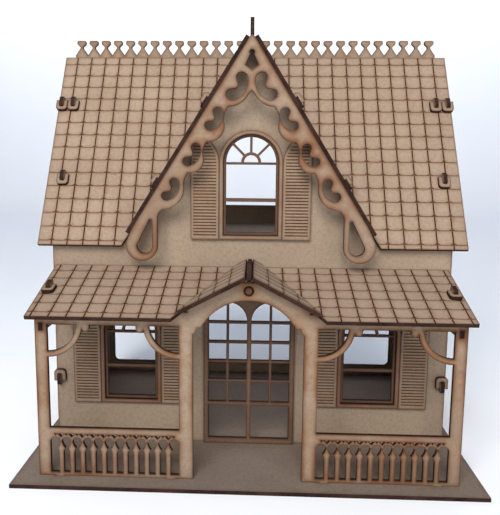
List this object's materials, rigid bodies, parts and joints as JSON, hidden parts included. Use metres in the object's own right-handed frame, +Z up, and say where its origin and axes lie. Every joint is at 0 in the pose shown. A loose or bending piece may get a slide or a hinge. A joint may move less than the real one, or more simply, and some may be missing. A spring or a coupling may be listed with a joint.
{
  "type": "dollhouse",
  "caption": "Slot-together wooden dollhouse with a front gable, pierced porch, louvred shutters, open back and removable locking clips.",
  "frame": {"origin": "middle of the base plate's underside", "axes": "+Z up, the front with the porch looks along -Y, +X is to the right seen from the front"},
  "size_m": [0.36, 0.258, 0.358],
  "materials": {
    "wall_board": "matt raw board",
    "roof_board": "matt raw board with engraved shingles",
    "trim_board": "matt raw board with scorched edges",
    "floor_board": "matt raw board",
    "clip_board": "matt raw board with scorched edges"
  },
  "bodies": {
    "house": {"base_plate": "floor_board", "door_panel": "trim_board", "front_wall": "wall_board", "gable_bargeboard": "trim_board", "gable_finial": "trim_board", "gable_roof_left": "roof_board", "gable_roof_right": "roof_board", "left_rafter": "trim_board", "left_wall": "wall_board", "left_window_sash": "trim_board", "left_window_shutter_left": "trim_board", "left_window_shutter_right": "trim_board", "left_window_trim": "trim_board", "main_roof_left": "roof_board", "main_roof_right": "roof_board", "porch_front": "trim_board", "porch_roof_left": "roof_board", "porch_roof_right": "roof_board", "porch_side_left": "trim_board", "porch_side_right": "trim_board", "portal_finial": "trim_board", "portal_roof_left": "roof_board", "portal_roof_right": "roof_board", "rear_frame": "wall_board", "ridge_cresting": "trim_board", "right_rafter": "trim_board", "right_wall": "wall_board", "right_window_sash": "trim_board", "right_window_shutter_left": "trim_board", "right_window_shutter_right": "trim_board", "right_window_trim": "trim_board", "upper_floor": "floor_board", "upper_shutter_left": "trim_board", "upper_shutter_right": "trim_board", "upper_window_sash": "trim_board", "upper_window_trim": "trim_board"},
    "front_clip_left": {"front_clip_left": "clip_board"},
    "front_clip_right": {"front_clip_right": "clip_board"},
    "gable_clip_left_lower": {"gable_clip_left_lower": "clip_board"},
    "gable_clip_left_upper": {"gable_clip_left_upper": "clip_board"},
    "gable_clip_right_lower": {"gable_clip_right_lower": "clip_board"},
    "gable_clip_right_upper": {"gable_clip_right_upper": "clip_board"},
    "porch_clip_left": {"porch_clip_left": "clip_board"},
    "porch_clip_right": {"porch_clip_right": "clip_board"},
    "rafter_clip_left": {"rafter_clip_left": "clip_board"},
    "rafter_clip_right": {"rafter_clip_right": "clip_board"},
    "rear_clip_left": {"rear_clip_left": "clip_board"},
    "rear_clip_right": {"rear_clip_right": "clip_board"},
    "roof_clip_left_lower": {"roof_clip_left_lower": "clip_board"},
    "roof_clip_left_upper": {"roof_clip_left_upper": "clip_board"},
    "roof_clip_right_lower": {"roof_clip_right_lower": "clip_board"},
    "roof_clip_right_upper": {"roof_clip_right_upper": "clip_board"}
  },
  "joints": [
    {"name": "front_clip_left_slide", "type": "slide", "parent": "house", "child": "front_clip_left", "axis": [0, 0, 1], "range_m": [0, 0.008]},
    {"name": "front_clip_right_slide", "type": "slide", "parent": "house", "child": "front_clip_right", "axis": [0, 0, 1], "range_m": [0, 0.008]},
    {"name": "gable_clip_left_lower_slide", "type": "slide", "parent": "house", "child": "gable_clip_left_lower", "axis": [-0.5299, 0, -0.848], "range_m": [0, 0.008]},
    {"name": "gable_clip_left_upper_slide", "type": "slide", "parent": "house", "child": "gable_clip_left_upper", "axis": [-0.5299, 0, -0.848], "range_m": [0, 0.008]},
    {"name": "gable_clip_right_lower_slide", "type": "slide", "parent": "house", "child": "gable_clip_right_lower", "axis": [0.5299, 0, -0.848], "range_m": [0, 0.008]},
    {"name": "gable_clip_right_upper_slide", "type": "slide", "parent": "house", "child": "gable_clip_right_upper", "axis": [0.5299, 0, -0.848], "range_m": [0, 0.008]},
    {"name": "porch_clip_left_slide", "type": "slide", "parent": "house", "child": "porch_clip_left", "axis": [0, -0.9516, -0.3074], "range_m": [0, 0.008]},
    {"name": "porch_clip_right_slide", "type": "slide", "parent": "house", "child": "porch_clip_right", "axis": [0, -0.9516, -0.3074], "range_m": [0, 0.008]},
    {"name": "rafter_clip_left_slide", "type": "slide", "parent": "house", "child": "rafter_clip_left", "axis": [0, -0.4924, -0.8704], "range_m": [0, 0.008]},
    {"name": "rafter_clip_right_slide", "type": "slide", "parent": "house", "child": "rafter_clip_right", "axis": [0, -0.4924, -0.8704], "range_m": [0, 0.008]},
    {"name": "rear_clip_left_slide", "type": "slide", "parent": "house", "child": "rear_clip_left", "axis": [0, 0, 1], "range_m": [0, 0.008]},
    {"name": "rear_clip_right_slide", "type": "slide", "parent": "house", "child": "rear_clip_right", "axis": [0, 0, 1], "range_m": [0, 0.008]},
    {"name": "roof_clip_left_lower_slide", "type": "slide", "parent": "house", "child": "roof_clip_left_lower", "axis": [0, -0.4924, -0.8704], "range_m": [0, 0.008]},
    {"name": "roof_clip_left_upper_slide", "type": "slide", "parent": "house", "child": "roof_clip_left_upper", "axis": [0, -0.4924, -0.8704], "range_m": [0, 0.008]},
    {"name": "roof_clip_right_lower_slide", "type": "slide", "parent": "house", "child": "roof_clip_right_lower", "axis": [0, -0.4924, -0.8704], "range_m": [0, 0.008]},
    {"name": "roof_clip_right_upper_slide", "type": "slide", "parent": "house", "child": "roof_clip_right_upper", "axis": [0, -0.4924, -0.8704], "range_m": [0, 0.008]}
  ]
}
